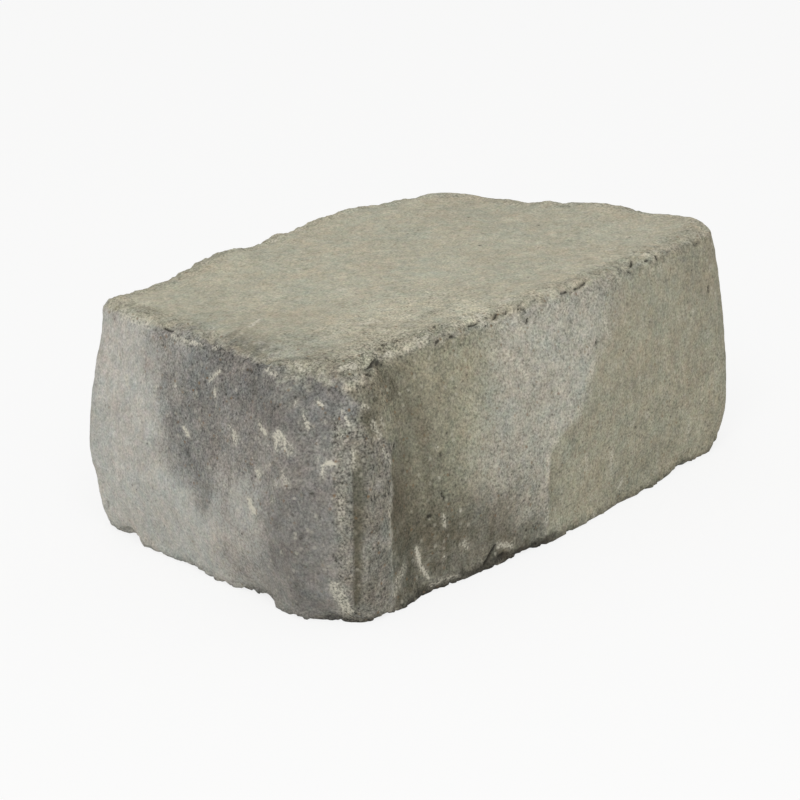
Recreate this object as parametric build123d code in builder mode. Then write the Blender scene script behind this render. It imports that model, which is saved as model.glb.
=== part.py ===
"""Garden wall block: one tumbled concrete block with a tapered plan and bellied sides.

Millimetres. X runs along the long front face, which looks to -Y, and +Z is up. The origin is the
middle of the underside of the block's bounding box.
"""

import math
import os

from build123d import *

# Overall size, measured at the belly, the widest level
length = 305.0
depth = 195.0
height = 115.0
belly_height = 42.0

# Plan: each end runs inwards towards the back, degrees
left_taper = 10.0
right_taper = 11.0

# The front is two shallow facets that meet at a ridge and fall back to the corners. The ridge runs
# straight up from the foot to its bend and slants from there
ridge_foot_x = -14.0
ridge_top_x = 48.0
ridge_bend_height = 30.0
left_facet_fall = 9.5
right_facet_fall = 6.5

# Cut front left corner: its reach along the left end and along the front, at the foot and the top
cut_foot_along_end = 27.0
cut_foot_along_front = 16.5
cut_top_along_end = 34.0
cut_top_along_front = 23.0

# Beside the cut corner a rib runs down the front, then a scoop, then the flatter part of the facet
rib_from_cut = 16.0
rib_top_from_cut = 10.0
rib_depth = 0.5
rib_top_depth = 1.2
scoop_from_cut = 39.0
scoop_top_from_cut = 23.0
scoop_depth = 4.5
scoop_top_depth = 7.0
facet_from_cut = 54.0
facet_depth = 2.5
facet_top_depth = 3.5

# How far each side has moved in at the top
left_lean_front = 16.0
left_lean_back = 10.0
front_lean_left = 15.5
front_lean_ridge = 10.0
front_lean_right = 4.0
right_lean_front = 4.5
right_lean_back = 9.5
back_lean = 6.5

# How far each side tucks in at the underside
left_foot_tuck = 7.0
front_foot_tuck = 2.5
right_foot_tuck = 6.5
back_foot_tuck = 3.0

# Worn upright corners, in the order of the plan's points
cut_end_radius = 16.0
cut_front_radius = 10.0
rib_radius = 12.0
scoop_radius = 30.0
facet_radius = 60.0
ridge_radius = 60.0
front_right_radius = 22.0
back_right_foot_radius = 35.0
back_right_top_radius = 65.0
back_left_radius = 11.0

# Worn edges of the top and the underside, and the sections that carry the shape
top_edge_radius = 5.5
foot_edge_radius = 3.0
edge_steps = 4
side_steps = 5

left_angle = math.radians(left_taper)
right_angle = math.radians(right_taper)


def foot_to_top(level, at_foot, at_top):
    """A value that runs straight from the underside's to the top's."""
    return at_foot + (at_top - at_foot) * level / height


def side_move(level, tuck, lean):
    """How far a side has moved in at one level: not at all at the belly, then in a growing curve."""
    if level < belly_height:
        return tuck * (1 - level / belly_height) ** 2
    return lean * ((level - belly_height) / (height - belly_height)) ** 1.4


def ridge_x(level):
    """Where the ridge between the two front facets is at one level."""
    slanting = max(level - ridge_bend_height, 0) / (height - ridge_bend_height)
    return ridge_foot_x + (ridge_top_x - ridge_foot_x) * slanting


def overrun(radius, taper, turn):
    """How far a corner between a tapered end and the next side stands out past its rounding."""
    return radius * math.tan(turn / 2) * math.sin(taper) - radius * (1 - math.cos(taper))


def cut_reach(level):
    """Reach of the cut corner along the left end and along the front."""
    along_end = foot_to_top(level, cut_foot_along_end, cut_top_along_end)
    along_front = foot_to_top(level, cut_foot_along_front, cut_top_along_front)
    return along_end, along_front


def front_corners_x():
    """The two front corners at the belly, placed so that the rounded block is as long as it says."""
    along_end, along_front = cut_reach(belly_height)
    corner = math.radians(90) - left_angle + math.atan2(left_facet_fall, length / 2)
    left_turn = math.atan2(along_front * math.sin(corner), along_end - along_front * math.cos(corner))
    right_turn = math.radians(90) + right_angle - math.atan2(right_facet_fall, length / 2)
    left_x = -length / 2 - overrun(cut_end_radius, left_angle, left_turn) - along_end * math.sin(left_angle)
    right_x = length / 2 + overrun(front_right_radius, right_angle, right_turn)
    return left_x, right_x


def plan_points(level, worn):
    """The plan's points at one level, anticlockwise from the cut corner's end on the left end face.

    Every side is set in by its lean or tuck at that level and by the worn edge.
    """
    left_x, right_x = front_corners_x()
    front_y = -depth / 2
    front_left = Vector(
        left_x + side_move(level, left_foot_tuck, left_lean_front) + worn,
        front_y + left_facet_fall + side_move(level, front_foot_tuck, front_lean_left) + worn,
    )
    ridge_y = front_y + side_move(level, front_foot_tuck, front_lean_ridge) + worn
    ridge = Vector(ridge_x(level), ridge_y)
    front_right = Vector(
        right_x - side_move(level, right_foot_tuck, right_lean_front) - worn,
        front_y + right_facet_fall + side_move(level, front_foot_tuck, front_lean_right) + worn,
    )
    back_y = depth / 2 - side_move(level, back_foot_tuck, back_lean) - worn
    right_run = (depth - right_facet_fall) * math.tan(right_angle)
    right_x_at_back = right_x - right_run - side_move(level, right_foot_tuck, right_lean_back)
    back_right = Vector(right_x_at_back - worn, back_y)
    left_run = (depth - left_facet_fall) * math.tan(left_angle)
    left_x_at_back = left_x + left_run + side_move(level, left_foot_tuck, left_lean_back)
    back_left = Vector(left_x_at_back + worn, back_y)

    cut_along_end, cut_along_front = cut_reach(level)
    end_direction = (back_left - front_left).normalized()
    front_direction = (ridge - front_left).normalized()
    inwards = Vector(0, 1)
    cut_end = front_left + end_direction * cut_along_end
    cut_front = front_left + front_direction * cut_along_front
    rib_along = rib_from_cut + side_move(level, 0, rib_top_from_cut - rib_from_cut)
    rib_in = rib_depth + side_move(level, 0, rib_top_depth - rib_depth)
    scoop_along = scoop_from_cut + side_move(level, 0, scoop_top_from_cut - scoop_from_cut)
    scoop_in = scoop_depth + side_move(level, 0, scoop_top_depth - scoop_depth)
    facet_in = facet_depth + side_move(level, 0, facet_top_depth - facet_depth)
    rib = cut_front + front_direction * rib_along + inwards * rib_in
    scoop = cut_front + front_direction * scoop_along + inwards * scoop_in
    facet = cut_front + front_direction * facet_from_cut + inwards * facet_in
    return [cut_end, cut_front, rib, scoop, facet, ridge, front_right, back_right, back_left]


def plan_radii(level):
    """Radius of each of the plan's points at one level, in the same order."""
    back_right_radius = foot_to_top(level, back_right_foot_radius, back_right_top_radius)
    front_radii = [cut_end_radius, cut_front_radius, rib_radius, scoop_radius, facet_radius, ridge_radius]
    return front_radii + [front_right_radius, back_right_radius, back_left_radius]


def sections():
    """Level and worn set-in of each section: an arc at the foot, two spans of side, an arc at the top."""
    shoulder = height - top_edge_radius
    turns = [math.radians(90) * step / edge_steps for step in range(edge_steps + 1)]
    found = []
    for turn in turns:
        rise = foot_edge_radius * (1 - math.cos(turn))
        found.append((rise, foot_edge_radius * (1 - math.sin(turn))))
    for start, end in ((foot_edge_radius, belly_height), (belly_height, shoulder)):
        found += [(start + (end - start) * step / side_steps, 0) for step in range(1, side_steps + 1)]
    for turn in turns[1:]:
        rise = top_edge_radius * math.sin(turn)
        found.append((shoulder + rise, top_edge_radius * (1 - math.cos(turn))))
    return found


with BuildPart() as block:
    for section_level, section_worn in sections():
        with BuildSketch(Plane.XY.offset(section_level)):
            with BuildLine():
                corners = plan_points(section_level, section_worn)
                FilletPolyline(*corners, radius=plan_radii(section_level), close=True)
            make_face()
    loft(ruled=True)

block.part.label = "wall_block"
os.makedirs("parts", exist_ok=True)
export_step(block.part, "parts/wall_block.step")
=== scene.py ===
"""Garden wall block: the looks of one tumbled, dry-cast concrete block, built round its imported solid.

Lengths that describe the block are in millimetres until the mesh is made, in the part's own frame:
X along the long front face, which looks to -Y, and +Z up from the underside.
"""

import math

import bpy
import numpy as np
from bpy.props import FloatProperty, FloatVectorProperty, IntProperty, PointerProperty
from mathutils import Matrix, Vector


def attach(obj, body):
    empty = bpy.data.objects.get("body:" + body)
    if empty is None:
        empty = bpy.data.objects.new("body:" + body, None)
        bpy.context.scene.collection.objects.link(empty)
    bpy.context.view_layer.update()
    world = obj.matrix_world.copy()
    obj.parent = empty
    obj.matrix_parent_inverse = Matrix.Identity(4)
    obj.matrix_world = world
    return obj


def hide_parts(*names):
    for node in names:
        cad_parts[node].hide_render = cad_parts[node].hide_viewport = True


bl_info = {
    "name": "Garden Wall Block",
    "version": (1, 0, 0),
    "blender": (4, 5, 0),
    "location": "3D View > Sidebar > Wall Block",
    "description": "Builds a tumbled dry-cast concrete wall block and the stage it is shown on",
    "category": "Object",
}

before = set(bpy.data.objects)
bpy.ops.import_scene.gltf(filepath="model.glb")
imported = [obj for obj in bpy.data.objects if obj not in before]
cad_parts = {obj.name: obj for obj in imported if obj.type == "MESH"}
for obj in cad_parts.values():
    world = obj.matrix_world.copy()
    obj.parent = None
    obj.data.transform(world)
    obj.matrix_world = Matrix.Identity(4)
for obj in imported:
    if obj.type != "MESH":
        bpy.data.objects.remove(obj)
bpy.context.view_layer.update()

MM = 0.001

# The block's plan and sides, the same values as the solid has. A pair is a value at the foot, or up to
# the belly, and the one at the top
LENGTH = 305.0
DEPTH = 195.0
HEIGHT = 115.0
BELLY = 42.0
LEFT_TAPER = math.radians(10)
RIGHT_TAPER = math.radians(11)
LEFT_FACET_FALL = 9.5
RIGHT_FACET_FALL = 6.5
RIDGE_FOOT_X = -14.0
RIDGE_TOP_X = 48.0
RIDGE_BEND = 30.0
CUT_END = (27.0, 34.0)
CUT_FRONT = (16.5, 23.0)
RIB_ALONG = (16.0, 10.0)
RIB_IN = (0.5, 1.2)
SCOOP_ALONG = (39.0, 23.0)
SCOOP_IN = (4.5, 7.0)
FACET_ALONG = (54.0, 54.0)
FACET_IN = (2.5, 3.5)
LEFT_TUCK, LEFT_LEAN_FRONT, LEFT_LEAN_BACK = 7.0, 16.0, 10.0
FRONT_TUCK, FRONT_LEAN_LEFT, FRONT_LEAN_RIDGE, FRONT_LEAN_RIGHT = 2.5, 15.5, 10.0, 4.0
RIGHT_TUCK, RIGHT_LEAN_FRONT, RIGHT_LEAN_BACK = 6.5, 4.5, 9.5
BACK_TUCK, BACK_LEAN = 3.0, 6.5
CORNER_RADII = (16.0, 10.0, 12.0, 30.0, 60.0, 60.0, 22.0, 35.0, 11.0)
BACK_RIGHT_CORNER = 7
BACK_RIGHT_TOP_RADIUS = 65.0
TOP_EDGE = 5.5
FOOT_EDGE = 3.0

# The mesh: columns along the front and back, columns along each end, rows up the sides
ARC_STEPS = 12
FRONT_COLUMNS = 220
END_COLUMNS = 128
FOOT_ROWS = 4
SIDE_ROWS = 72
CREST_ROWS = 7
UNDERSIDE_RINGS = 12

# The camera, in degrees and millimetres. Its sensor is 36 mm wide, which is Blender's own value
CAMERA_AZIMUTH = -49.29
CAMERA_ELEVATION = 20.2
CAMERA_ROLL = -2.37
CAMERA_DISTANCE = 1608.5
CAMERA_TARGET = (-6.3, -0.33, 50.0)
CAMERA_LENS = 149.5

# The rest of the stage, in metres
FLOOR_REACH = 4.0
KEY_PLACE = (-1.5, -1.1, 1.9)
KEY_AIM = (0.0, 0.0, 0.05)
KEY_WIDTH = 1.6

# Noise: slopes in its lattice, what brings it to about -1 to 1, and how strong each finer layer still is
SLOPES = 256
NOISE_SPREAD = 1.7
NOISE_GAIN = 0.55


def hex_colour(text):
    """An sRGB hex value as linear red, green and blue."""
    srgb = np.array([int(text[i:i + 2], 16) / 255 for i in (1, 3, 5)])
    return np.where(srgb <= 0.04045, srgb / 12.92, ((srgb + 0.055) / 1.055) ** 2.4)


def ease(value, low, high):
    """0 below low, 1 above high, and the smooth curve 3t^2 - 2t^3 between."""
    t = np.clip((value - low) / (high - low), 0, 1)
    return t * t * (3 - 2 * t)


def unit(arrows):
    """Arrows made one long."""
    return arrows / np.linalg.norm(arrows, axis=-1)[..., None]


def lattice_noise(points, cell, seed):
    """Gradient noise, about -1 to 1.

    Every corner of a cubic lattice of that cell has a random slope. The eight slopes round a point are
    blended by the curve 6t^5 - 15t^4 + 10t^3 along each axis.
    """
    rng = np.random.default_rng(seed)
    order = rng.permutation(SLOPES)
    slopes = unit(rng.normal(size=(SLOPES, 3)))
    place = points / np.asarray(cell, float) + rng.uniform(50, 90, 3)
    corner = np.floor(place).astype(int)
    inside = place - corner
    blend = inside ** 3 * (inside * (inside * 6 - 15) + 10)
    total = np.zeros(len(points))
    for step in np.ndindex(2, 2, 2):
        at = corner + step
        key = order[(order[(order[at[:, 0] % SLOPES] + at[:, 1]) % SLOPES] + at[:, 2]) % SLOPES]
        weight = np.prod(np.where(np.array(step, bool), blend, 1 - blend), axis=1)
        total += weight * ((inside - step) * slopes[key]).sum(axis=1)
    return total * NOISE_SPREAD


def layered_noise(points, cell, layers, seed):
    """Layers of lattice noise, each on a cell half as large and fainter by the gain."""
    cell = np.asarray(cell, float)
    return sum(
        NOISE_GAIN ** layer * lattice_noise(points, cell / 2 ** layer, seed + layer)
        for layer in range(layers)
    )


def foot_to_top(level, at_foot, at_top):
    """A value that runs straight from the underside's to the top's."""
    return at_foot + (at_top - at_foot) * level / HEIGHT


def side_move(level, tuck, lean):
    """How far a side has moved in: tuck (1 - z/belly)^2 below the belly, lean t^1.4 above it."""
    below = np.clip(1 - level / BELLY, 0, None)
    above = np.clip((level - BELLY) / (HEIGHT - BELLY), 0, None)
    return tuck * below ** 2 + lean * above ** 1.4


def belly_to_top(level, pair):
    """A value that keeps its first number up to the belly and moves to its second at the top."""
    return pair[0] + side_move(level, 0, pair[1] - pair[0])


def ridge_x(level):
    """Where the ridge between the two front facets is: upright to its bend, then slanting."""
    slanting = np.clip(level - RIDGE_BEND, 0, None) / (HEIGHT - RIDGE_BEND)
    return RIDGE_FOOT_X + (RIDGE_TOP_X - RIDGE_FOOT_X) * slanting


def overrun(radius, taper, turn):
    """How far a corner between a tapered end and the next side stands out past its rounding."""
    return radius * math.tan(turn / 2) * math.sin(taper) - radius * (1 - math.cos(taper))


def front_corners_x():
    """The two front corners at the belly, placed so that the rounded block is as long as it says."""
    along_end, along_front = foot_to_top(BELLY, *CUT_END), foot_to_top(BELLY, *CUT_FRONT)
    corner = math.radians(90) - LEFT_TAPER + math.atan2(LEFT_FACET_FALL, LENGTH / 2)
    left_turn = math.atan2(along_front * math.sin(corner), along_end - along_front * math.cos(corner))
    right_turn = math.radians(90) + RIGHT_TAPER - math.atan2(RIGHT_FACET_FALL, LENGTH / 2)
    left_over = overrun(CORNER_RADII[0], LEFT_TAPER, left_turn) + along_end * math.sin(LEFT_TAPER)
    return -LENGTH / 2 - left_over, LENGTH / 2 + overrun(CORNER_RADII[6], RIGHT_TAPER, right_turn)


def pair_up(x, y):
    """Two arrays as one array of plan points."""
    return np.stack(np.broadcast_arrays(x, y), axis=-1)


def plan_points(level, worn):
    """The nine plan points at each level, from the cut corner's end anticlockwise to the back left.

    Every side is set in by its lean or tuck at that level and by the worn edge.
    """

    def set_in(tuck, lean):
        """How far in a side is at each level."""
        return side_move(level, tuck, lean) + worn

    left_x, right_x = front_corners_x()
    front_left = pair_up(
        left_x + set_in(LEFT_TUCK, LEFT_LEAN_FRONT),
        LEFT_FACET_FALL - DEPTH / 2 + set_in(FRONT_TUCK, FRONT_LEAN_LEFT),
    )
    ridge = pair_up(ridge_x(level), set_in(FRONT_TUCK, FRONT_LEAN_RIDGE) - DEPTH / 2)
    front_right = pair_up(
        right_x - set_in(RIGHT_TUCK, RIGHT_LEAN_FRONT),
        RIGHT_FACET_FALL - DEPTH / 2 + set_in(FRONT_TUCK, FRONT_LEAN_RIGHT),
    )
    back_y = DEPTH / 2 - set_in(BACK_TUCK, BACK_LEAN)
    right_run = (DEPTH - RIGHT_FACET_FALL) * math.tan(RIGHT_TAPER)
    back_right = pair_up(right_x - right_run - set_in(RIGHT_TUCK, RIGHT_LEAN_BACK), back_y)
    left_run = (DEPTH - LEFT_FACET_FALL) * math.tan(LEFT_TAPER)
    back_left = pair_up(left_x + left_run + set_in(LEFT_TUCK, LEFT_LEAN_BACK), back_y)

    front_way = unit(ridge - front_left)
    cut_end = front_left + unit(back_left - front_left) * foot_to_top(level, *CUT_END)[:, None]
    cut_front = front_left + front_way * foot_to_top(level, *CUT_FRONT)[:, None]
    beside = []
    for along, inwards in ((RIB_ALONG, RIB_IN), (SCOOP_ALONG, SCOOP_IN), (FACET_ALONG, FACET_IN)):
        point = cut_front + front_way * belly_to_top(level, along)[:, None]
        point[:, 1] += belly_to_top(level, inwards)
        beside.append(point)
    return np.stack([cut_end, cut_front, *beside, ridge, front_right, back_right, back_left], axis=1)


def rounded_outline(corners, radii):
    """Each corner of each level's plan made an arc that touches the two sides beside it.

    The arc's centre is on the corner's bisector, radius / sin(half the opening) away, and its ends are
    radius / tan(half the opening) from the corner.
    """
    before = unit(np.roll(corners, 1, axis=1) - corners)
    after = unit(np.roll(corners, -1, axis=1) - corners)
    half = np.arccos(np.clip((before * after).sum(axis=2), -1, 1)) / 2
    centre = corners + unit(before + after) * (radii / np.sin(half))[..., None]
    reach = (radii / np.tan(half))[..., None]
    start = corners + before * reach - centre
    end = corners + after * reach - centre
    start_angle = np.arctan2(start[..., 1], start[..., 0])
    turn = np.arctan2(end[..., 1], end[..., 0]) - start_angle
    turn = (turn + math.pi) % (2 * math.pi) - math.pi
    angle = start_angle[..., None] + turn[..., None] * np.linspace(0, 1, ARC_STEPS)
    around = np.stack([np.cos(angle), np.sin(angle)], axis=-1) * radii[..., None, None]
    return (centre[:, :, None, :] + around).reshape(len(corners), -1, 2)


def section_rows():
    """Level and worn set-in of each row: an arc at the foot, the side, an arc at the crest."""
    foot = np.linspace(0, math.pi / 2, FOOT_ROWS + 1)
    side = np.linspace(FOOT_EDGE, HEIGHT - TOP_EDGE, SIDE_ROWS + 1)[1:]
    crest = np.linspace(0, math.pi / 2, CREST_ROWS + 1)[1:]
    level = np.concatenate([FOOT_EDGE * (1 - np.cos(foot)), side, HEIGHT - TOP_EDGE * (1 - np.sin(crest))])
    worn = np.concatenate([FOOT_EDGE * (1 - np.sin(foot)), 0 * side, TOP_EDGE * (1 - np.cos(crest))])
    return level, worn


def side_grid():
    """Points of the sides as rows by columns: every level's outline cut at the same shares.

    The shares are those of the outline at the belly. The grid's four corner columns are in the middle
    of the cut corner's front arc and of the three other upright corners' arcs.
    """
    level, worn = section_rows()
    radii = np.tile(np.array(CORNER_RADII), (len(level), 1))
    radii[:, BACK_RIGHT_CORNER] = foot_to_top(level, CORNER_RADII[BACK_RIGHT_CORNER], BACK_RIGHT_TOP_RADIUS)
    outline = rounded_outline(plan_points(level, worn), radii)
    outline = np.concatenate([outline, outline[:, :1]], axis=1)
    belly_row = np.argmin(abs(level - BELLY))
    share = np.concatenate([[0], np.cumsum(np.linalg.norm(np.diff(outline[belly_row], axis=0), axis=1))])
    middle = [share[corner * ARC_STEPS + ARC_STEPS // 2] for corner in (1, 6, 7, 8)]
    stops = middle + [middle[0] + share[-1]]
    counts = (FRONT_COLUMNS, END_COLUMNS, FRONT_COLUMNS, END_COLUMNS)
    spans = zip(stops, stops[1:], counts)
    columns = np.concatenate([np.linspace(a, b, n, endpoint=False) for a, b, n in spans]) % share[-1]
    left = np.clip(np.searchsorted(share, columns, side="right") - 1, 0, len(share) - 2)
    part = ((columns - share[left]) / (share[left + 1] - share[left]))[None, :, None]
    plan = outline[:, left] * (1 - part) + outline[:, left + 1] * part
    return np.concatenate([plan, np.broadcast_to(level[:, None, None], plan.shape[:2] + (1,))], axis=2)


def four_edges(loop):
    """The front, right, back and left edge of a closed loop, each run from the left or the front."""
    a, b = FRONT_COLUMNS, END_COLUMNS
    return loop[:a + 1], loop[a:a + b + 1], loop[a + b:2 * a + b + 1][::-1], loop[2 * a + b:][::-1]


def filled_patch(loop):
    """A grid inside the loop of the top: each point is blended from the four edges it lies between.

    front (1-t) + back t + left (1-s) + right s, less the same blend of the four corners.
    """
    front, right, back, left = four_edges(np.concatenate([loop, loop[:1]]))
    s = np.linspace(0, 1, len(front))[None, :, None]
    t = np.linspace(0, 1, len(left))[:, None, None]
    edges = (1 - t) * front[None] + t * back[None] + (1 - s) * left[:, None] + s * right[:, None]
    low = (1 - s) * front[0] + s * front[-1]
    high = (1 - s) * back[0] + s * back[-1]
    return edges - (1 - t) * low - t * high


def quads(index):
    """Faces of a grid of vertex numbers, each turned anticlockwise as the grid's rows go up."""
    corners = (index[:-1, :-1], index[:-1, 1:], index[1:, 1:], index[1:, :-1])
    return np.stack(corners, axis=-1).reshape(-1, 4)


def numbered(first, rows, columns):
    """A grid of vertex numbers that go on from the first."""
    return first + np.arange(rows * columns).reshape(rows, columns)


def block_surface():
    """Vertices and faces of the plain block: sides, top patch, and rings that close the underside.

    Ring k of the underside is the foot's outline drawn in to 1 - k / (rings + 1) of its size about its
    middle, and the last ring closes on one point.
    """
    sides = side_grid()
    rows, columns = sides.shape[:2]
    side_index = numbered(0, rows, columns)
    side_index = np.concatenate([side_index, side_index[:, :1]], axis=1)
    patch = filled_patch(sides[-1])
    inner = patch[1:-1, 1:-1]
    top_index = np.zeros(patch.shape[:2], int)
    top_index[0], top_index[:, -1], top_index[-1], top_index[:, 0] = four_edges(side_index[-1])
    top_index[1:-1, 1:-1] = numbered(rows * columns, *inner.shape[:2])
    middle = sides[0].mean(axis=0)
    shrink = 1 - np.arange(1, UNDERSIDE_RINGS + 1) / (UNDERSIDE_RINGS + 1)
    rings = middle + (sides[0] - middle)[None] * shrink[:, None, None]
    ring_index = numbered(top_index.max() + 1, UNDERSIDE_RINGS, columns)
    under = np.concatenate([side_index[:1, :-1], ring_index])[::-1]
    under = np.concatenate([under, under[:, :1]], axis=1)
    pole = np.full(columns, ring_index.max() + 1)
    fan = np.stack([pole, under[0, :-1], under[0, 1:]], axis=1)
    points = np.concatenate([part.reshape(-1, 3) for part in (sides, inner, rings, middle)])
    return points, np.concatenate([quads(index) for index in (side_index, top_index, under)]), fan


def vertex_normals(points, faces, fan):
    """Unit normals, each the sum of its faces' areas as arrows."""
    total = np.zeros_like(points)
    for cells, ends in ((faces, (2, 0, 3, 1)), (fan, (1, 0, 2, 0))):
        a, b, c, d = (points[cells[:, end]] for end in ends)
        arrows = np.cross(a - b, c - d)
        for corner, axis in np.ndindex(cells.shape[1], 3):
            total[:, axis] += np.bincount(cells[:, corner], arrows[:, axis], len(points))
    return unit(total)


def near(value, middle, reach, power=2):
    """A soft peak: exp(-((value - middle) / reach)^power). The power 4 gives it a flat top."""
    return np.exp(-(((value - middle) / reach) ** power))


def spot(places, middle, reach, power=2):
    """A soft spot: the peaks of all its axes multiplied. The power 4 makes it squarish."""
    return math.prod(near(*axis, power) for axis in zip(places, middle, reach))


def bite(points, middle, radius):
    """How far a point lies inside a ball, in millimetres: the ball broke that much off."""
    return np.clip(radius - np.linalg.norm(points - np.array(middle), axis=1), 0, None)


# Waves of the edges and faces, a few centimetres across: middle, reach, and how far out they stand
SWELLS = (
    ((133, -15, 114), (14, 34, 12), 1.6), ((-124, 84, 20), (14, 18, 16), -1.0),
    ((-128, -22, 112), (12, 20, 9), -2.2), ((-128, 8, 112), (12, 12, 8), -1.2),
    ((-122, 60, 112), (12, 20, 9), 1.2), ((-112, -74, 112), (10, 10, 9), -1.2),
    ((-64, -76, 112), (14, 10, 9), 1.3), ((-24, -79, 112), (11, 12, 8), -2.2),
    ((8, -82, 112), (22, 12, 8), 1.3), ((70, -85, 112), (12, 12, 8), -1.8),
    ((120, -88, 111), (18, 12, 9), 1.2), ((142, -84, 19), (22, 22, 11), 1.5),
    ((142, -84, 58), (22, 22, 16), -0.4), ((-124, 85, 104), (12, 12, 14), -1.0),
    ((-128, -84, 3), (12, 12, 9), 1.8),
)

# Balls that broke pieces off the crest and the foot: middle and radius
BITES = (
    (-108, -70, 118, 7.0), (-98, -69, 117.5, 5.5), (-25, -78, 118, 5.5), (-40, -77, 118, 4.6),
    (30, -86, 118, 5.0), (71, -85, 118, 5.6), (86, -88, 117, 4.6), (-124, 38, 118, 5.6),
    (-127, 9, 118, 5.0), (-132, -30, 118, 5.5), (-121, 86, 117, 5.0), (-140, -29, -5, 8.4),
    (-129, 86, 12, 5.0), (-134, 95, 26, 13.2), (-129, 73, -8, 15.0), (-57, -93, 1, 4.5),
    (139, -84, 119, 7.8), (52, -97, -2, 5.5), (120, -93, -3, 6.0), (133, -86, 4, 5.0),
)

# How far the silhouette's edges stand out, by place along them: the crest at the back by X, the crest
# of the right end by Y, and the foot of the left end and of the front by Y and X
BACK_CREST = (
    (-108, 1.2), (-94, -1.2), (-79, -1.9), (-67, -1.3), (-57, -0.2), (-47, 1.5), (-37, 2.0), (-27, 1.6),
    (-15, -0.3), (-7, -0.8), (1, 0.1), (7, 1.2), (18, -0.2), (31, 0.9), (39, 1.2), (50, 0.3), (62, 0.2),
    (80, -1.9), (92, -0.5),
)
RIGHT_CREST = (
    (-85, -1.8), (-72, -0.6), (-59, -0.8), (-46, -1.5), (-36, -0.4), (-26, 0.4), (-15, -0.2), (-3, -0.9),
    (4, -1.2), (9, -0.6), (20, -2.0), (31, -1.0), (38, -1.4), (45, -1.3), (50, -0.3), (63, 1.1),
    (74, 0.4),
)
LEFT_FOOT = (
    (-69, -2.4), (-59, 0.4), (-46, 1.8), (-40, 1.2), (-36, -2.4), (-26, -4.0), (-18, -2.0), (-5, 1.6),
    (4, 1.8), (13, 0.8), (24, 0.4), (36, 1.6), (47, 2.2), (58, 2.2), (63, 0.0), (70, -3.0), (82, -1.5),
)
FRONT_FOOT = (
    (-120, 0.3), (-111, 2.4), (-103, 2.4), (-96, 1.2), (-84, 0.2), (-73, 2.8), (-61, 2.0), (-49, 1.7),
    (-38, 0.9), (-25, -0.2), (-18, 1.9), (-8, 1.6), (7, 1.4), (25, 2.6), (44, -0.2), (56, 2.2), (72, 3.0),
    (83, 1.2), (98, -1.2), (115, 0.8),
)

# The ridge between the two facets as the broken edge really runs, X by Z, and the step beside it
RIDGE_RUN = ((0, -15), (34, -14), (44, -11), (50, -5), (56, 8), (65, 17), (75, 24), (92, 38), (115, 50))
RIDGE_STEP = 0.9

# The ribs of the cut corner are upright edges seen from in front of the cut: where they are across
# it and how wide the groove is, at the foot and at the top, and the step beside the second rib
CORNER_FACES = math.radians(-49.3)
GROOVE_EDGE = (-28.5, -24.5)
GROOVE_WIDTH = (3.6, 12.0)
RIB_EDGE = (-11.2, -6.6)
RIB_STEP = 1.3

# Pits: both ends of a stroke, its width, its depth and how dark it is. They are listed by face, the left
# end in Y and Z, the front in X and Z and the top in X and Y
# The dark of a pit is painted shade inside it
END_PITS = (
    (17, 62, 15, 60, 3.0, 0.4, 0.4), (85, 17, 86, 13, 2.4, 1.0, 0.4), (-20, 108, -24, 108, 1.6, 0.6, 0.6),
    (-77, 36, -78, 33, 1.6, 0.8, 0.7), (-66, 62, -67, 62, 1.6, 0.8, 0.7),
    (-64, 44, -64, 41, 1.6, 0.6, 0.5),
)
FRONT_PITS = (
    (-113, 111, -111, 110, 2.2, 1.2, 0.9), (-104, 112, -100, 111, 1.8, 1.0, 1.0),
    (-106, 77, -106, 76, 1.8, 1.2, 0.9), (-67, 112, -66, 112, 1.7, 1.0, 1.0),
    (-59, 112, -57, 112, 1.8, 1.0, 1.0), (-10, 107, -10, 108, 1.9, 1.2, 1.0),
    (65, 112, 65, 111, 2.0, 1.0, 0.6), (118, 111, 122, 111, 2.4, 1.0, 0.5),
    (127, 88, 126, 85, 1.8, 0.8, 0.5), (-92, 39, -91, 39, 2.1, 1.6, 1.0),
    (-84, 48, -83, 45, 2.0, 1.2, 0.9), (-80, 65, -80, 64, 1.9, 1.0, 0.8),
    (-74, 72, -73, 72, 1.8, 1.0, 0.8), (30, 87, 31, 86, 1.9, 1.2, 0.8), (-50, 11, -57, 3, 2.2, 1.4, 1.0),
    (-48, 4, -44, 5, 2.4, 1.2, 0.8), (71, 42, 72, 41, 1.6, 0.8, 0.6), (57, 36, 58, 35, 1.6, 0.8, 0.6),
)
TOP_PITS = (
    (-111, -72, -107, -72, 2.8, 1.4, 1.0), (-105, -71, -101, -70, 2.4, 1.2, 1.0),
    (-123, 41, -124, 35, 1.7, 1.0, 0.9), (-126, 9, -126, 8, 2.0, 1.2, 0.9),
    (-43, -76, -37, -76, 1.7, 1.2, 1.0), (-22, -74, -26, -76, 2.1, 1.5, 1.0),
    (-17, -77, -19, -78, 1.6, 1.0, 0.8), (-11, -80, -8, -81, 1.4, 0.8, 0.8),
    (15, -83, 19, -84, 1.6, 0.8, 0.8), (24, -84, 33, -84, 1.8, 1.1, 0.9),
    (72, -83, 69, -86, 2.3, 1.6, 1.0), (79, -86, 80, -86, 1.7, 1.0, 0.8),
    (87, -86, 86, -87, 1.7, 1.0, 0.9), (97, -86, 99, -86, 1.6, 0.8, 0.6),
    (-24, 41, -25, 40, 1.8, 1.2, 0.9), (93, -40, 92, -41, 1.6, 1.0, 0.8),
)

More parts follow.
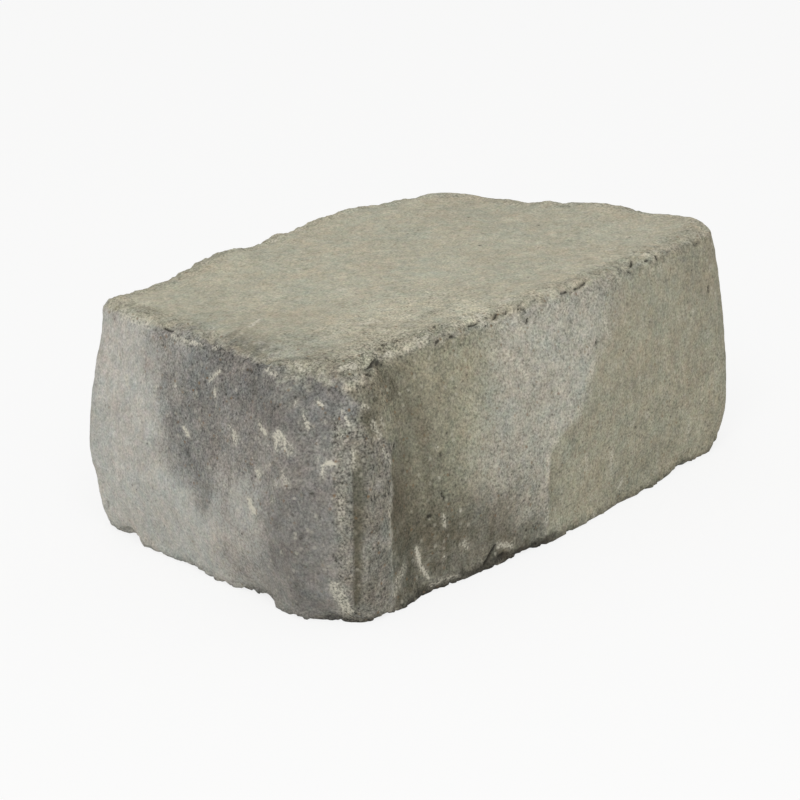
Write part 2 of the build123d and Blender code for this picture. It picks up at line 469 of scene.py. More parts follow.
# Scars, pale where the skin is broken: both ends, width and how pale, listed by face in the same way
END_SCARS = (
    (-3, 104, 4, 97, 1.6, 0.65), (0, 94, -1, 91, 1.8, 0.8), (19, 72, 16, 70, 2.2, 0.95),
    (-12, 82, -16, 80, 1.6, 0.5), (-17, 79, -19, 75, 2.6, 0.6), (-34, 87, -39, 85, 2.2, 0.85),
    (-46, 84, -53, 80, 5.0, 0.34), (-46, 84, -46, 80, 2.0, 0.6), (-47, 88, -51, 85, 2.2, 0.8),
    (-30, 52, -33, 48, 3.4, 1.0), (-34, 67, -36, 65, 2.6, 0.5), (22, 41, 19, 42, 2.0, 0.45),
    (-61, 101, -64, 99, 2.2, 0.8), (-56, 95, -60, 89, 1.6, 0.6), (-72, 97, -76, 92, 1.7, 0.7),
    (-70, 76, -73, 76, 2.8, 1.0), (-69, 74, -70, 69, 1.9, 0.55), (-80, 82, -81, 74, 2.2, 0.5),
    (-52, 70, -54, 65, 2.6, 0.4), (-76, 19, -79, 8, 6.0, 0.45), (-79, 60, -80, 50, 1.8, 0.35),
    (65, 86, 64, 81, 2.2, 0.4), (-34, 112, -40, 111, 2.8, 0.5), (72, 112, 50, 112, 3.6, 0.3),
    (34, 111, 12, 112, 2.2, 0.45),
)
FRONT_SCARS = (
    (-26, 96, -22, 90, 1.5, 0.5), (-22, 89, -18, 82, 2.2, 0.8), (-100, 25, -97, 16, 2.3, 0.85),
    (-97, 16, -92, 7, 2.1, 0.75), (-84, 37, -83, 31, 1.3, 0.6), (-71, 20, -69, 17, 3.2, 0.35),
    (-35, 51, -34, 49, 2.6, 0.5), (-9, 50, -5, 49, 2.6, 0.5), (-12, 45, -15, 34, 1.9, 0.55),
    (-15, 19, -15, 12, 1.9, 0.5), (12, 59, 9, 54, 1.8, 0.4), (25, 78, 22, 72, 2.6, 0.3),
    (38, 94, 39, 88, 3.4, 0.35), (37, 31, 38, 17, 1.7, 0.35), (104, 24, 104, 14, 1.6, 0.3),
    (-116, 79, -112, 70, 2.4, 0.35), (-119, 91, -116, 84, 3.4, 0.4), (-113, 90, -112, 88, 2.4, 0.4),
    (-122, 99, -120, 97, 2.4, 0.4), (-109, 19, -118, 11, 3.4, 0.2), (-48, 11, -39, 7, 3.0, 0.45),
    (-91, 5, -75, 4, 1.8, 0.45), (43, 9, 46, 12, 2.6, 0.4), (16, 36, 17, 26, 2.0, 0.3),
)
TOP_SCARS = (
    (-127, -45, -130, -51, 2.0, 0.8), (-120, -67, -117, -69, 4.4, 0.55), (-129, 5, -129, 3, 1.7, 0.6),
    (-30, -71, -35, -78, 4.0, 0.5), (-104, 4, -94, 8, 1.5, 0.6), (-84, -34, -84, -35, 1.9, 0.8),
    (79, -65, 79, -66, 1.6, 0.8), (-96, -33, -92, -36, 2.6, 0.4), (-73, -36, -66, -40, 3.4, 0.35),
    (-40, 5, -36, 3, 3.4, 0.3), (-100, -68, -92, -70, 3.0, 0.45), (-75, -70, -66, -72, 3.0, 0.4),
    (-14, -70, -8, -72, 3.6, 0.4),
)

# Random small pits and scars over the whole skin: how many, and the least and greatest width and strength
LOOSE_PITS = (170, (1.0, 1.8), (0.3, 0.9))
LOOSE_SCARS = (150, (1.2, 2.6), (0.2, 0.5))

# How far a mark's soft border reaches, the least width it is drawn with, and the pale bloom round a scar
MARK_BORDER = 2.5
LEAST_MARK = 1.8
SCAR_BLOOM = 0.16

# How far the wear of the crest and of the foot reaches along the side, and into the top or the underside
CREST_WEAR = (6, 9)
FOOT_WEAR = (5, 7)


def stroke(points, facing, axes, ends):
    """Distance of every point from the straight stroke between the vertices nearest to two places.

    The places are given by two of the coordinates, on the face that the vertices are sought in.
    """
    face = points[facing]
    places = (ends[:2], ends[2:])
    start, end = (face[np.argmin(((face[:, axes] - place) ** 2).sum(axis=1))] for place in places)
    way = end - start
    along = np.clip((points - start) @ way / max(way @ way, 1e-9), 0, 1)
    return np.linalg.norm(points - start - along[:, None] * way, axis=1)


def mark_field(distance, width, strength):
    """A mark as a cone: 1 on its outline, rising inwards up to a cap that its strength sets."""
    return np.clip(1 - (distance - max(width, LEAST_MARK) / 2) / MARK_BORDER, 0, 0.85 + 0.5 * strength)


def place_marks(points, normals, wear, seed):
    """Hollows in millimetres, and the fields of pits and of scars that the material draws from."""
    hollow, pitted, scarred = (np.zeros(len(points)) for _ in range(3))
    sides = (
        (normals[:, 0] < -0.3, (1, 2), END_PITS, END_SCARS),
        (normals[:, 1] < -0.3, (0, 2), FRONT_PITS, FRONT_SCARS),
        (normals[:, 2] > 0.3, (0, 1), TOP_PITS, TOP_SCARS),
    )
    for facing, axes, pits, scars in sides:
        for *ends, width, depth, dark in pits:
            away = stroke(points, facing, axes, ends)
            hollow = np.maximum(hollow, depth * (1 - ease(away, 0, width)))
            pitted = np.maximum(pitted, mark_field(away, width, dark))
        for *ends, width, pale in scars:
            scarred = np.maximum(scarred, mark_field(stroke(points, facing, axes, ends), width, pale))

    likely = 0.25 + wear[0] + wear[1] + 0.35 * (abs(normals[:, 2]) < 0.5)
    likely += 0.5 * (normals[:, 0] < -0.6) * (points[:, 2] > 55) * (points[:, 1] < 30)
    likely *= normals[:, 2] > -0.9
    likely /= likely.sum()
    rng = np.random.default_rng(seed)
    for field, count, widths, strengths in ((pitted, *LOOSE_PITS), (scarred, *LOOSE_SCARS)):
        for middle in points[rng.choice(len(points), count, replace=False, p=likely)]:
            width, strength = rng.uniform(*widths), rng.uniform(*strengths)
            away = np.linalg.norm(points - middle, axis=1)
            np.maximum(field, mark_field(away, width, strength), out=field)
    return hollow, pitted, scarred


def across_corner(points):
    """How far right a point is for someone who looks straight at the cut corner."""
    return points[:, 0] * math.cos(CORNER_FACES) + points[:, 1] * math.sin(CORNER_FACES)


def corner_ribs(points):
    """Shares of the groove and of the step beside the second rib, each 1 at its upright edge.

    Both start as a sharp edge and run out to the right, the groove as a straight slope over its width
    and the step as exp(-t / 7 mm). The distance from the second rib and where the cut corner is follow.
    """
    x, y, z = points.T
    waver = 0.7 + 2.5 * ease(z, 66, 88)
    across = across_corner(points) + waver * layered_noise(points, (7, 7, 13), 3, 111)
    from_groove = across - foot_to_top(z, *GROOVE_EDGE)
    from_rib = across - foot_to_top(z, *RIB_EDGE)
    at_corner = (y < -50) & (x < -70)
    groove = ease(from_groove, -0.4, 0.8) * np.clip(1 - from_groove / foot_to_top(z, *GROOVE_WIDTH), 0, 1)
    step = ease(from_rib, -0.6, 1.4) * np.exp(-np.clip(from_rib, 0, None) / 7)
    tall = ease(z, 5, 14) * ease(-z, -90, -72)
    return groove * tall * at_corner, step * tall * at_corner, from_rib, at_corner


def rim_distance(places, rim):
    """How far places in plan lie from the nearest point of the rim, in portions that fit in memory."""
    portions = np.array_split(places, 1 + len(places) // 1000)
    return np.concatenate([np.linalg.norm(part[:, None] - rim, axis=2).min(axis=1) for part in portions])


def wear_share(points):
    """1 at the worn edge of the crest and of the foot, falling away over a few millimetres."""
    z = points[:, 2]
    columns = 2 * (FRONT_COLUMNS + END_COLUMNS)
    side_points = columns * (FOOT_ROWS + SIDE_ROWS + CREST_ROWS + 1)
    edges = (
        (HEIGHT - z, points[side_points - columns:side_points, :2], *CREST_WEAR),
        (z, points[:columns, :2], *FOOT_WEAR),
    )
    shares = []
    for along_side, rim, side_reach, inner_reach in edges:
        inner = (np.arange(len(points)) >= side_points) & (along_side < HEIGHT / 2)
        into = np.zeros(len(points))
        into[inner] = rim_distance(points[inner, :2], rim)
        shares.append(near(along_side, 0, side_reach) * (1 - ease(into, 1, inner_reach)))
    return shares


def edge_run(place, table):
    """A value along an edge, straight between the places of its table."""
    return np.interp(place, *zip(*table))


def relief(points, normals, wear, ribs, groove_depth):
    """How far the cast and tumbled skin stands out from the plain block, in millimetres.

    Broad waves and grain, the ribs of the cut corner, rough worn edges, and bites out of them.
    """
    x, y, z = points.T
    crest, foot = wear
    groove, step = ribs[:2]
    wave = layered_noise(points, 70, 2, 11) * 0.8
    skin = layered_noise(points, 22, 3, 21) * 0.3 + layered_noise(points, 5.5, 2, 31) * 0.16
    move = wave + skin + lattice_noise(points, 2.6, 41) * 0.14
    for middle, reach, out in SWELLS:
        move += out * spot(points.T, middle, reach)

    near_crest = near(z, HEIGHT, 9)
    near_foot = near(z, 0, 7) * (abs(normals[:, 2]) < 0.95)
    back = ease(y, 67, 74)
    move += edge_run(x, BACK_CREST) * near_crest * back
    move += edge_run(y, RIGHT_CREST) * near_crest * ease(x, 85, 100) * (1 - back)
    move += edge_run(y, LEFT_FOOT) * near_foot * ease(-x, 110, 125)
    move += edge_run(x, FRONT_FOOT) * near_foot * ease(-y, 70, 80)

    rough, fine = layered_noise(points, 9, 3, 51), layered_noise(points, 4.5, 2, 53)
    patchy = 0.35 + 0.9 * ease(layered_noise(points, 34, 2, 57), -0.25, 0.35)
    chipped = 1.7 * ease(rough, 0.15, 0.3) + 0.6 * ease(fine, 0.1, 0.35) - 0.35
    chipped *= 0.55 + 0.45 * ease(-x, -20, 40)
    towards_front = 0.35 + 0.65 * ease(-y - 0.35 * x, -40, 10)
    move += crest * (0.9 * np.clip(fine, -0.8, 0.8) * back - chipped * patchy * towards_front)
    large = layered_noise(points, 13, 3, 59)
    move -= foot * (1.1 * ease(large, 0.15, 0.3) + 0.8 * ease(fine, 0.05, 0.3) - 0.55)

    move -= groove_depth * groove + RIB_STEP * step
    past_ridge = x - edge_run(z, RIDGE_RUN) + 1.5 * layered_noise(points, 8, 2, 121)
    scar = ease(past_ridge, -0.6, 1.6) * np.exp(-np.clip(past_ridge, 0, None) / 22) * (y < -60)
    move -= RIDGE_STEP * scar * ease(z, 4, 20) * ease(-z, -62, -38)
    for *middle, radius in BITES:
        move -= bite(points, middle, radius)
    return move


def block_mesh(settings):
    """The block's mesh with its relief, and the values of its vertices that the material draws from.

    They are the colour, how coarse the grain looks, and the fields of pits and of scars.
    """
    points, faces, fan = block_surface()
    normals = vertex_normals(points, faces, fan)
    wear, ribs = wear_share(points), corner_ribs(points)
    hollow, pitted, scarred = place_marks(points, normals, wear, settings.seed)
    move = relief(points, normals, wear, ribs, settings.groove_depth / MM) - hollow
    shaped = points + normals * move[:, None]
    shaped[:, 2] = np.clip(shaped[:, 2], 0.0, None)
    mesh = bpy.data.meshes.new("tumbled_block")
    mesh.from_pydata((shaped * MM).tolist(), [], faces.tolist() + fan.tolist(), shade_flat=False)
    mesh.validate()
    tint, coarse = skin_colour(points, normals, wear, ribs, settings)
    tint = layered(tint, [(settings.pale_colour, SCAR_BLOOM * ease(scarred, 0.1, 1.1))])
    opaque = np.vstack([tint, np.ones(len(points))]).T.ravel()
    mesh.attributes.new("tint", "FLOAT_COLOR", "POINT").data.foreach_set("color", opaque)
    for name, values in (("pitted", pitted), ("scarred", scarred), ("coarse", coarse)):
        mesh.attributes.new(name, "FLOAT", "POINT").data.foreach_set("value", values)
    return mesh


# Stains of the left end: middle and reach in Y and Z, strength
END_STAINS = (
    (-20, 92, 60, 39, 0.95), (-66, 96, 16, 18, 0.85), (-60, 34, 30, 48, 1.0), (-22, 12, 21, 14, 0.48),
    (-15, 36, 17, 28, 0.2), (42, 100, 14, 14, 0.35), (-6, 46, 24, 16, 0.34), (19, 61, 20, 17, 0.46),
    (6, 46, 7, 14, 0.42), (24, 80, 14, 16, 0.25),
)

# Lighter patches inside them, and darker ones with a minus: middle, reach and share
END_PATCHES = (
    (-17, 80, 16, 16, 0.17), (-41, 73, 11, 12, 0.2), (-26, 50, 10, 11, 0.6), (-34, 42, 12, 20, 0.25),
    (14, 74, 12, 12, 0.1), (16, 61, 5, 7, -0.25), (-36, 103, 26, 9, -0.2), (-44, 62, 12, 14, 0.08),
    (-42, 10, 15, 16, 0.26), (-70, 104, 12, 12, -0.25), (-80, 34, 10, 40, 0.12),
)

# Dark stains of the front, with painted shade in the trough beside the cut corner: middle and reach in X and
# Z, strength
FRONT_STAINS_AND_SHADE = (
    (-110, 38, 12, 40, 0.95), (-98, 98, 14, 15, 0.56), (-122, 98, 11, 17, 1.0), (-106, 4, 12, 10, 0.55),
    (-94, 46, 14, 46, 0.62), (-78, 62, 14, 56, 0.42), (-84, 20, 21, 24, 0.74), (-53, 18, 17, 19, 0.74),
    (-32, 6, 18, 11, 0.72), (-24, 24, 20, 18, 0.2), (-56, 80, 20, 60, 0.12), (-102, 104, 9, 7, 0.6),
    (118, 96, 20, 16, 0.14), (-56, 98, 14, 18, 0.15), (44, 100, 9, 14, 0.15), (58, 8, 26, 13, 0.16),
)

# Paler and darker patches of the top: middle and reach in X and Y, share of light
TOP_PATCHES = (
    (-49, 66, 24, 14, 0.04), (-32, 6, 22, 12, 0.05), (-69, -38, 26, 12, 0.06), (-36, -44, 22, 10, 0.05),
    (10, -12, 20, 12, 0.04), (49, -57, 16, 9, 0.05), (-36, -68, 16, 9, 0.2), (-106, -30, 18, 16, -0.12),
    (96, 29, 34, 18, -0.05), (-105, 44, 20, 22, -0.05), (-100, 0, 20, 18, -0.07),
    (116, -71, 28, 10, -0.05), (-110, -50, 18, 20, -0.08), (-84, -52, 26, 12, -0.07),
    (-50, -62, 20, 8, -0.04), (87, 60, 30, 14, 0.03),
)


# The row of blue, and what a warm patch adds to red, green and blue
BLUE = 2
WARM = (1.0, -0.2, -0.8)


def skin_colour(points, normals, wear, ribs, settings):
    """The concrete's slow changes of colour, in linear light, and how coarse its grain looks.

    Each face has its own grey. Stains are patches whose outlines noise has broken up, with runs drawn
    out downwards, and they darken the face's grey towards the stain's colour.
    """
    x, y, z = points.T
    crest, foot = wear
    groove, step, from_rib, at_corner = ribs
    bend, ragged = layered_noise(points, 16, 3, 61), layered_noise(points, 4.5, 2, 65)
    runs = layered_noise(points, (4.5, 4.5, 55), 2, 71)
    drips = layered_noise(points, (2.6, 2.6, 26), 2, 75)

    left_rim = ease(-x, 105, 118)
    top_starts = 0.45 + 0.25 * left_rim * ease(y, -52, -38) * ease(-y, -50, -25)
    worn_over = left_rim * ease(-y, 36, 50) * ease(z + 4 * bend + 5 * ragged, 106, 113)
    top = ease(normals[:, 2] + 0.12 * ragged, top_starts, top_starts + 0.4)
    top = np.maximum(top, 0.6 * worn_over)
    side = 1 - top
    high = ease(z, 76, 94)
    corner_side = 1 - ease(from_rib + high * (13 + 5 * bend), -1.6 - 4 * high, 1.4 + 4 * high)
    front = np.where(at_corner, 1 - corner_side, ease(-normals[:, 1], 0.55, 0.8)) * side
    soft = 0.5 + 5 * ease(z, 35, 60) + 12 * ease(z, 70, 100)
    past_ridge = x - edge_run(z, RIDGE_RUN)
    right_facet = ease((past_ridge + 2 * bend + ragged) / soft, -1, 1.5)

    end_stain = joined(END_STAINS, y + 5 * bend, z + 5 * bend + 4 * runs)
    end_stain = ease(end_stain + 0.14 * runs + 0.1 * drips + 0.1 * ragged, 0.12, 1.0) * ease(-x, 92, 112)
    for *form, lighter in END_PATCHES:
        end_stain *= 1 - lighter * spot((y + 6 * bend + 2 * ragged, z + 6 * runs), form[:2], form[2:], 4)
    end_stain *= side * (1 - front)
    olive = front * ease(0.5 * (z - 80) - x, 30, 65) * ease(z, 10, 40)
    colour = layered(np.array(settings.end_colour)[:, None], [
        (settings.left_facet_colour, front),
        (settings.right_facet_colour, front * right_facet),
        (settings.right_facet_colour, ease(x, 90, 130) * side),
        (settings.stain_colour, end_stain),
    ])
    colour[BLUE] *= 1 - 0.12 * olive

    # Stains of the front; where they darken the trough beside the cut corner they are also painted shade
    front_stain_and_shade = joined(FRONT_STAINS_AND_SHADE, x + 4 * bend, z + 4 * bend + 4 * runs)
    front_stain_and_shade *= 1 + 0.14 * runs + 0.18 * ragged + 0.14 * bend
    rib_face = ease(across_corner(points), -37, -32) * ease(-z, -100, -86) * corner_side * at_corner
    # Painted highlight: a pale line along the second rib's edge, where it catches the light
    rib_line = near(from_rib, -0.8, 0.9) * ease(z, 20, 28) * ease(-z, -62, -52)
    rib_line *= ease(ragged, -0.5, 0.3) * (y < -60) * (x < -90)
    colour = layered(colour, [
        (settings.hollow_stain_and_shade_colour, np.clip(front_stain_and_shade, 0, 1) * front),
        (settings.rib_colour, rib_face * (0.9 + 0.25 * np.clip(bend + ragged, -1, 0.4)) * side),
        # Stain and painted shade in the groove between the ribs
        (settings.hollow_stain_and_shade_colour, 0.9 * ease(groove, 0, 0.6) * side),
        # Painted shade in the step beside the second rib
        (settings.dirt_and_shade_colour, 0.3 * step * side),
        # Painted highlight along the second rib's edge
        (settings.pale_colour, 0.4 * rib_line),
        (settings.top_colour, top),
    ])

    for *form, light in TOP_PATCHES:
        colour *= 1 + light * top * spot((x + 8 * bend, y + 8 * bend), form[:2], form[2:], 4)
    left_crest = near(x - 0.12 * (y + 60), -127, 12) * ease(z, 107, 113) * ease(-y, -45, -5)
    colour *= 1 - 0.45 * left_crest * ease(bend + ragged, -0.5, 0.6)
    # Dirt and painted shade along the foot, strongest under the broken front foot
    undercut = ease(x, -118, -105) * ease(-x, -10, 20) * (y < -60)
    foot_dirt_and_shade = ease(foot * (1 + 0.5 * undercut) + 0.3 * ragged + 0.25 * bend, 0.4, 0.9)
    foot_dirt_and_shade *= 1 - ease(z, 4 + 2 * undercut, 8 + 3 * undercut)
    foot_dirt_and_shade *= 0.2 + 0.2 * ease(-y, 55, 70) + 0.5 * undercut
    colour = layered(colour, [(settings.dirt_and_shade_colour, foot_dirt_and_shade)])

    near_corner = ease(-x, 0, 60)
    # Dirt and painted shade in patches on the front crest
    crest_dirt_and_shade = crest * ease(layered_noise(points, 6, 3, 131), -0.15, 0.4) * ease(-y, 20, 60)
    dots = ease(layered_noise(points, 3.4, 2, 135), -0.05, 0.3)
    dots *= ease(layered_noise(points, 14, 2, 137), -0.5, 0.2)
    crest_line = near(normals[:, 2], 0.6, 0.2) * crest * ease(-y, 40, 65)
    # Painted shade: the rounded crest, which faces the key light more than the faces do, is darkened, more
    # towards the cut corner
    colour *= 1 - (0.08 + 0.08 * near_corner) * crest
    colour *= 1 - (0.12 + 0.14 * near_corner) * crest_dirt_and_shade
    # Painted shade: dark dots of pits along the crest's rounding
    colour *= 1 - 0.4 * crest_line * dots
    ridge_wear = near(past_ridge, -1, 1.7) * (y < -60) * ease(ragged + bend, -0.5, 0.4)
    ridge_wear *= ease(z, 8, 26) * ease(-z, -92, -50)
    colour = layered(colour, [(settings.pale_colour, 0.34 * ridge_wear)])

    # Painted light: the left end is made lighter towards its back corner, where the light falls off over the
    # curve
    end_painted_light = ease(y, 45, 75) * ease(-x, 92, 112) * (ease(-z, -70, -30) + 0.8 * ease(z, 92, 106))
    colour *= 1 + 0.05 * front * (1 - right_facet) * ease(x, -45, 0) * ease(z, 30, 60)
    colour *= 1 + 0.08 * end_painted_light + 0.06 * rib_face * ease(-from_rib, 20, 22)
    # Painted shade in the hollow beside the second rib
    colour = layered(colour, [(settings.hollow_stain_and_shade_colour, 0.14 * rib_face * ease(from_rib, -14, -9) * side)])

    streaks = (runs + drips) * side * (0.055 - 0.035 * front + 0.03 * front * right_facet)
    spots = ragged * (0.06 + 0.08 * crest + 0.07 * end_stain)
    blotchy = 0.06 + 0.04 * front * right_facet + 0.05 * end_stain + 0.04 * top * ease(-y, 10, 50)
    blotches = layered_noise(points, 10, 2, 141) * blotchy
    mottle = layered_noise(points, 26, 3, 81)
    colour *= 1 + 0.045 * mottle + blotches + spots + streaks
    warm = layered_noise(points, 30, 2, 91) * 0.03 + layered_noise(points, 7, 3, 95) * 0.035
    colour *= 1 + np.outer(WARM, warm)

    coarse = 0.95 + front * (0.5 - 0.3 * right_facet + 0.22 * (1 - ease(z, 40, 70)))
    coarse += end_stain * (0.5 + 0.6 * ease(z, 40, 70)) * (1 - 0.35 * ease(-y, 25, 45))
    coarse += 1.2 * rib_face * side * (1 - 0.7 * ease(groove, 0, 0.5)) + 0.7 * crest + 0.4 * foot
    coarse += 0.7 * near(from_rib, -10, 11) * high * at_corner
    coarse += 0.6 * ease(-x, -10, 40) * ease(-y, 5, 45) * top
    return np.clip(colour, 0, 1), coarse


def layered(colour, layers):
    """Rows of red, green and blue with other colours laid over in turn, by their share at each point."""
    for other, share in layers:
        colour = colour + (np.array(other)[:, None] - colour) * np.clip(share, 0, 1)
    return colour


def joined(stains, *places):
    """Strength of all stains together: 1 less the product of what each leaves."""
    return 1 - math.prod(1 - strength * spot(places, form[:2], form[2:], 4) for *form, strength in stains)


def empty_tree(owner):
    """The node tree of a material or a world, with nothing in it yet."""
    owner.use_nodes = True
    owner.node_tree.nodes.clear()
    return owner.node_tree


def add_node(tree, kind, settings=None, links=None):
    """Adds a shader node with its properties, socket values and links, and gives its outputs."""
    node = tree.nodes.new("ShaderNode" + kind)
    for name, value in (settings or {}).items():
        if isinstance(name, str) and hasattr(node, name):
            setattr(node, name, value)
        else:
            node.inputs[name].default_value = value
    for name, source in (links or {}).items():
        tree.links.new(source, node.inputs[name])
    return node.outputs


def dry_cast_concrete(settings):
    """Dry-cast concrete, pressed and then tumbled: matt, with sand grains, pores and no gloss.

    Sand of about 1 mm shows as fine grain. Finer sand is left out, because a pixel of the render is
    0.5 mm. Single pieces show as pale, dark and brown specks about 2 mm across, and the skin is open,
    so small pores show as dark dots.
    """
    material = bpy.data.materials.new("dry_cast_concrete_tumbled")
    tree = empty_tree(material)
    place = add_node(tree, "TexCoord")["Object"]
    tint, pitted, scarred, coarse = (
        add_node(tree, "Attribute", {"attribute_name": name})[output]
        for name, output in (("tint", "Color"), ("pitted", "Fac"), ("scarred", "Fac"), ("coarse", "Fac"))
    )

    at_place = {"Vector": place}
    fine, sand, lumps = (
        add_node(tree, "TexNoise", {"Scale": 1 / (size * MM), "Detail": detail, "Roughness": 0.65}, at_place)
        for size, detail in ((1.1, 3.0), (3.4, 3.0), (8.0, 2.0))
    )
    grain = weighted_sum(tree, ((fine["Fac"], 1.5), (sand["Fac"], 0.45), (lumps["Fac"], 0.2)))
    light = add_node(tree, "Math", {"operation": "MULTIPLY_ADD", 2: 1.0}, {0: grain, 1: coarse})
    tinted = {"operation": "MULTIPLY_ADD", 1: (0.14,) * 3, 2: (0.93,) * 3}
    speckle = add_node(tree, "VectorMath", tinted, {0: sand["Color"]})
    colour = add_node(tree, "VectorMath", {"operation": "MULTIPLY"}, {0: tint, 1: speckle[0]})
    links = {"Vector": colour[0], "Scale": light[0]}
    colour = add_node(tree, "VectorMath", {"operation": "SCALE"}, links)[0]

    bend = {"operation": "MULTIPLY_ADD", 1: (1.6 * MM,) * 3}
    bent = add_node(tree, "VectorMath", bend, {0: fine["Color"], 2: place})[0]
    where_coarse = {"From Min": 0.8, "From Max": 2.0, "To Min": 0.25}
    pore_share = add_node(tree, "MapRange", where_coarse, {"Value": coarse})[0]
    pale_speck, dark_speck, rust_speck, pore = (
        specks(tree, bent, *choice) for choice in (
            (2.6, "Red", 0.8, 0.35),
            (2.2, "Green", 0.8, 0.4),
            (2.0, "Red", 0.9, 0.9),
            (1.9, "Blue", 0.86, 0.75),
        )
    )
    dark_speck, rust_speck, pore = (
        add_node(tree, "Math", {"operation": "MULTIPLY"}, {0: share, 1: pore_share})[0]
        for share in (dark_speck, rust_speck, pore)
    )
    layers = (
        (settings.pale_colour, pale_speck),
        (settings.pit_colour, dark_speck),
        (settings.rust_colour, rust_speck),
        # Painted shade inside pores
        (settings.pit_colour, pore),
        (settings.pale_colour, drawn_mark(tree, scarred, grain, 0.85)),
        # Painted shade inside pits
        (settings.pit_colour, drawn_mark(tree, pitted, grain, 0.9)),
    )
    for other, share in layers:
        mix = add_node(tree, "Mix", {"data_type": "RGBA", 7: (*other, 1)}, {"Factor": share, 6: colour})
        colour = mix[2]

    height = add_node(tree, "Math", {"operation": "SUBTRACT"}, {0: grain, 1: pore})[0]
    bump = add_node(tree, "Bump", {"Strength": 0.6, "Distance": 0.5 * MM}, {"Height": height})[0]
    matt = {"Roughness": 0.92, "IOR": 1.5, "Specular IOR Level": 0.25}
    shader = add_node(tree, "BsdfPrincipled", matt, {"Base Color": colour, "Normal": bump})
    add_node(tree, "OutputMaterial", None, {"Surface": shader[0]})
    return material


def weighted_sum(tree, parts):
    """Noises centred on 0 and added up by their weights."""
    total = None
    for value, weight in parts:
        settings = {"operation": "MULTIPLY_ADD", 1: weight, 2: -weight / 2}
        part = add_node(tree, "Math", settings, {0: value})[0]
        if total is not None:
            part = add_node(tree, "Math", {"operation": "ADD"}, {0: total, 1: part})[0]
        total = part
    return total


def specks(tree, place, size, channel, chosen, strength):
    """Share of grains that differ: cells of one size, of which those past the chosen share show."""
    cells = add_node(tree, "TexVoronoi", {"Scale": 1 / (size * MM)}, {"Vector": place})
    dice = add_node(tree, "SeparateColor", None, {"Color": cells["Color"]})[channel]
    grain = add_node(tree, "MapRange", {"From Min": 0.5, "From Max": 0.2}, {"Value": cells["Distance"]})
    past_share = {"From Min": chosen, "From Max": 1.0, "To Max": strength}
    shown = add_node(tree, "MapRange", past_share, {"Value": dice})
    return add_node(tree, "Math", {"operation": "MULTIPLY"}, {0: grain[0], 1: shown[0]})[0]


def drawn_mark(tree, field, grain, strength):
    """Share of a mark: its field, roughened by the grain, cut off sharply a little inside 1."""
    rough = add_node(tree, "Math", {"operation": "MULTIPLY_ADD", 1: 0.8}, {0: grain, 2: field})[0]
    settings = {"From Min": 0.92, "From Max": 1.25, "To Max": strength}
    return add_node(tree, "MapRange", settings, {"Value": rough})[0]


def colour_property(name, description, text):
    """A colour setting that starts from an sRGB hex value."""
    return FloatVectorProperty(name=name, description=description, default=hex_colour(text), subtype="COLOR")


class WallBlockSettings(bpy.types.PropertyGroup):
    """Sizes and colours of the block."""

    groove_depth: FloatProperty(
        name="Groove depth",
        description="Depth of the groove between the two ribs of the cut corner",
        default=0.0022,
        subtype="DISTANCE",
        unit="LENGTH",
    )
    seed: IntProperty(name="Seed", description="Another number gives other loose pits and scars", default=5)
    top_colour: colour_property("Top", "Concrete of the top", "#b6b29e")
    end_colour: colour_property("End", "Clean concrete of the left end", "#b6b4ac")
    left_facet_colour: colour_property("Left facet", "Clean concrete of the front's left facet", "#a9a699")
    right_facet_colour: colour_property("Right facet", "Concrete of the front's right facet", "#a09c89")
    stain_colour: colour_property("Stain", "Dark stain of the left end", "#7a7873")
    rib_colour: colour_property("Ribs", "Ribs of the cut corner", "#7d7a70")
    dirt_and_shade_colour: colour_property("Dirt", "Dirt and shade along the foot", "#45423a")
    # The hollow colour is the darkest stain, and painted shade where it darkens the trough, the groove and
    # the hollow beside the second rib
    hollow_stain_and_shade_colour: colour_property("Hollow", "Darkest stain, in the hollows of the front", "#605c4e")
    pale_colour: colour_property("Worn grains", "Fresh concrete where the skin is broken", "#d2cdbc")
    rust_colour: colour_property("Brown grains", "Single grains of iron-brown sand", "#7a6247")
    # The pit colour is painted shade inside pits and pores, and the colour of dark grains
    pit_colour: colour_property("Pits", "Inside of pits and pores", "#2f2d28")


class WallBlockStage(bpy.types.PropertyGroup):
    """Light and ground of the stage."""

    key_power: FloatProperty(name="Key light", description="Power of the lamp", default=26.0, unit="POWER")
    fill: FloatProperty(name="Fill light", description="Strength of the even light", default=0.62)
    floor_colour: colour_property("Floor", "Colour of the floor", "#f2f2f0")


def new_object(name, data):
    """An object with that data, linked into the scene."""
    thing = bpy.data.objects.new(name, data)
    bpy.context.scene.collection.objects.link(thing)
    return thing


class WALLBLOCK_OT_block(bpy.types.Operator):
    """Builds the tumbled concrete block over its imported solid"""

    bl_idname = "wallblock.block"
    bl_label = "Wall Block"

    def execute(self, context):
        settings = context.scene.wall_block
        mesh = block_mesh(settings)
        mesh.materials.append(dry_cast_concrete(settings))
        piece = new_object("tumbled_block", mesh)
        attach(piece, "root")
        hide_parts("wall_block")
        return {"FINISHED"}


def camera_pose():
    """The camera's matrix: it looks at the target from its azimuth and elevation, rolled a little."""
    pose = Matrix.Translation(Vector(CAMERA_TARGET) * MM)
    for degrees, axis in ((CAMERA_AZIMUTH, "Z"), (90 - CAMERA_ELEVATION, "X"), (CAMERA_ROLL, "Z")):
        pose @= Matrix.Rotation(math.radians(degrees), 4, axis)
    return pose @ Matrix.Translation((0, 0, CAMERA_DISTANCE * MM))


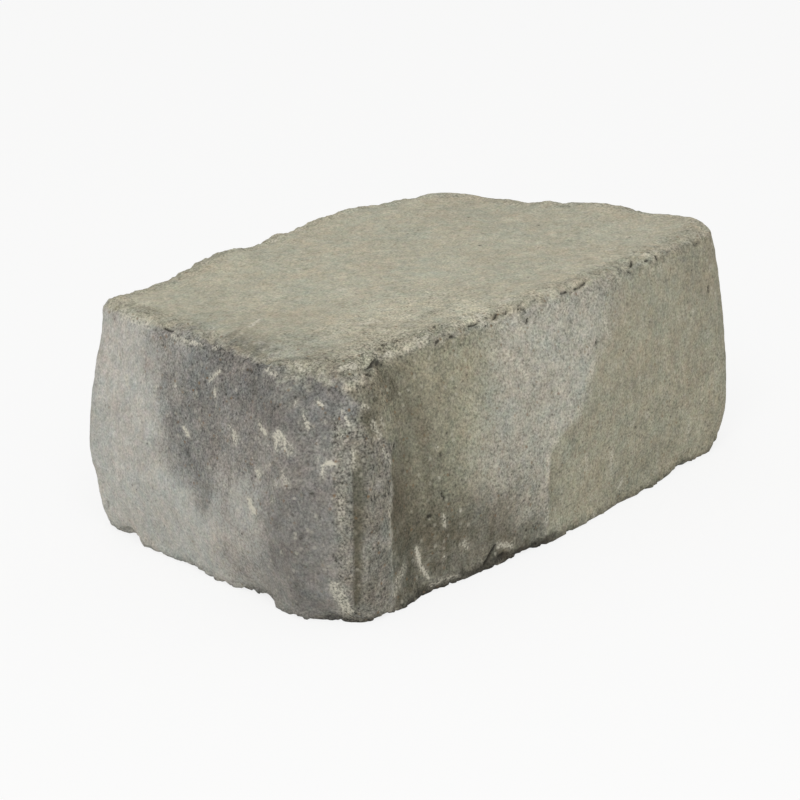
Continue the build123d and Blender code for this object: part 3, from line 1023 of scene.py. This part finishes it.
class WALLBLOCK_OT_stage(bpy.types.Operator):
    """Adds the floor, the soft light and the camera"""

    bl_idname = "wallblock.stage"
    bl_label = "Stage"

    def execute(self, context):
        scene = context.scene
        stage = scene.wall_block_stage
        floor_mesh = bpy.data.meshes.new("floor")
        ways = ((-1, -1), (1, -1), (1, 1), (-1, 1))
        floor_mesh.from_pydata([(FLOOR_REACH * x, FLOOR_REACH * y, 0) for x, y in ways], [], [(0, 1, 2, 3)])
        floor_mesh.materials.append(floor_paper(stage))
        floor = new_object("floor", floor_mesh)

        key = bpy.data.lights.new("key", "AREA")
        key.shape = "SQUARE"
        key.size = KEY_WIDTH
        key.energy = stage.key_power
        light = new_object("key", key)
        light.location = KEY_PLACE
        light.rotation_euler = (Vector(KEY_PLACE) - Vector(KEY_AIM)).to_track_quat("Z", "Y").to_euler()

        camera_data = bpy.data.cameras.new("camera")
        camera_data.lens = CAMERA_LENS
        camera = new_object("camera", camera_data)
        camera.matrix_world = camera_pose()
        scene.camera = camera
        scene.world = soft_room(stage)
        scene.view_settings.view_transform = "Standard"
        return {"FINISHED"}


def soft_room(stage):
    """A world with an even grey light from all round, seen as white."""
    world = bpy.data.worlds.new("soft_room")
    tree = empty_tree(world)
    path = add_node(tree, "LightPath")
    seen = path["Is Camera Ray"]
    for ray in ("Is Glossy Ray", "Is Transmission Ray"):
        seen = add_node(tree, "Math", {"operation": "MAXIMUM"}, {0: seen, 1: path[ray]})[0]
    even, white = (
        add_node(tree, "Background", {"Strength": strength, "Color": (1, 1, 1, 1)})[0]
        for strength in (stage.fill, 1.0)
    )
    mix = add_node(tree, "MixShader", None, {0: seen, 1: even, 2: white})
    add_node(tree, "OutputWorld", None, {"Surface": mix[0]})
    return world


def floor_paper(stage):
    """White background paper: matt, and lifted towards white where the camera sees it."""
    material = bpy.data.materials.new("white_background_paper")
    tree = empty_tree(material)
    seen = add_node(tree, "LightPath")["Is Camera Ray"]
    share = add_node(tree, "Math", {"operation": "MULTIPLY", 1: 0.82}, {0: seen})[0]
    paper = add_node(tree, "BsdfDiffuse", {"Color": (*stage.floor_colour, 1)})[0]
    white = add_node(tree, "Emission", {"Strength": 1.0})[0]
    mix = add_node(tree, "MixShader", None, {0: share, 1: paper, 2: white})
    add_node(tree, "OutputMaterial", None, {"Surface": mix[0]})
    return material


class VIEW3D_PT_wall_block(bpy.types.Panel):
    """Lists the block's settings and steps"""

    bl_label = "Wall Block"
    bl_space_type = "VIEW_3D"
    bl_region_type = "UI"
    bl_category = "Wall Block"

    def draw(self, context):
        for settings in (context.scene.wall_block, context.scene.wall_block_stage):
            for name in settings.__annotations__:
                self.layout.prop(settings, name)
        self.layout.operator("wallblock.block")
        self.layout.operator("wallblock.stage")


CLASSES = (WallBlockSettings, WallBlockStage, WALLBLOCK_OT_block, WALLBLOCK_OT_stage, VIEW3D_PT_wall_block)


def register():
    """Registers the classes and hangs the settings on the scene."""
    for item in CLASSES:
        bpy.utils.register_class(item)
    bpy.types.Scene.wall_block = PointerProperty(type=WallBlockSettings)
    bpy.types.Scene.wall_block_stage = PointerProperty(type=WallBlockStage)


def unregister():
    """Takes the settings and the classes away again."""
    del bpy.types.Scene.wall_block_stage
    del bpy.types.Scene.wall_block
    for item in reversed(CLASSES):
        bpy.utils.unregister_class(item)


def main():
    """Builds everything."""
    register()
    bpy.ops.wallblock.block()
    bpy.ops.wallblock.stage()


if __name__ == "__main__":
    main()
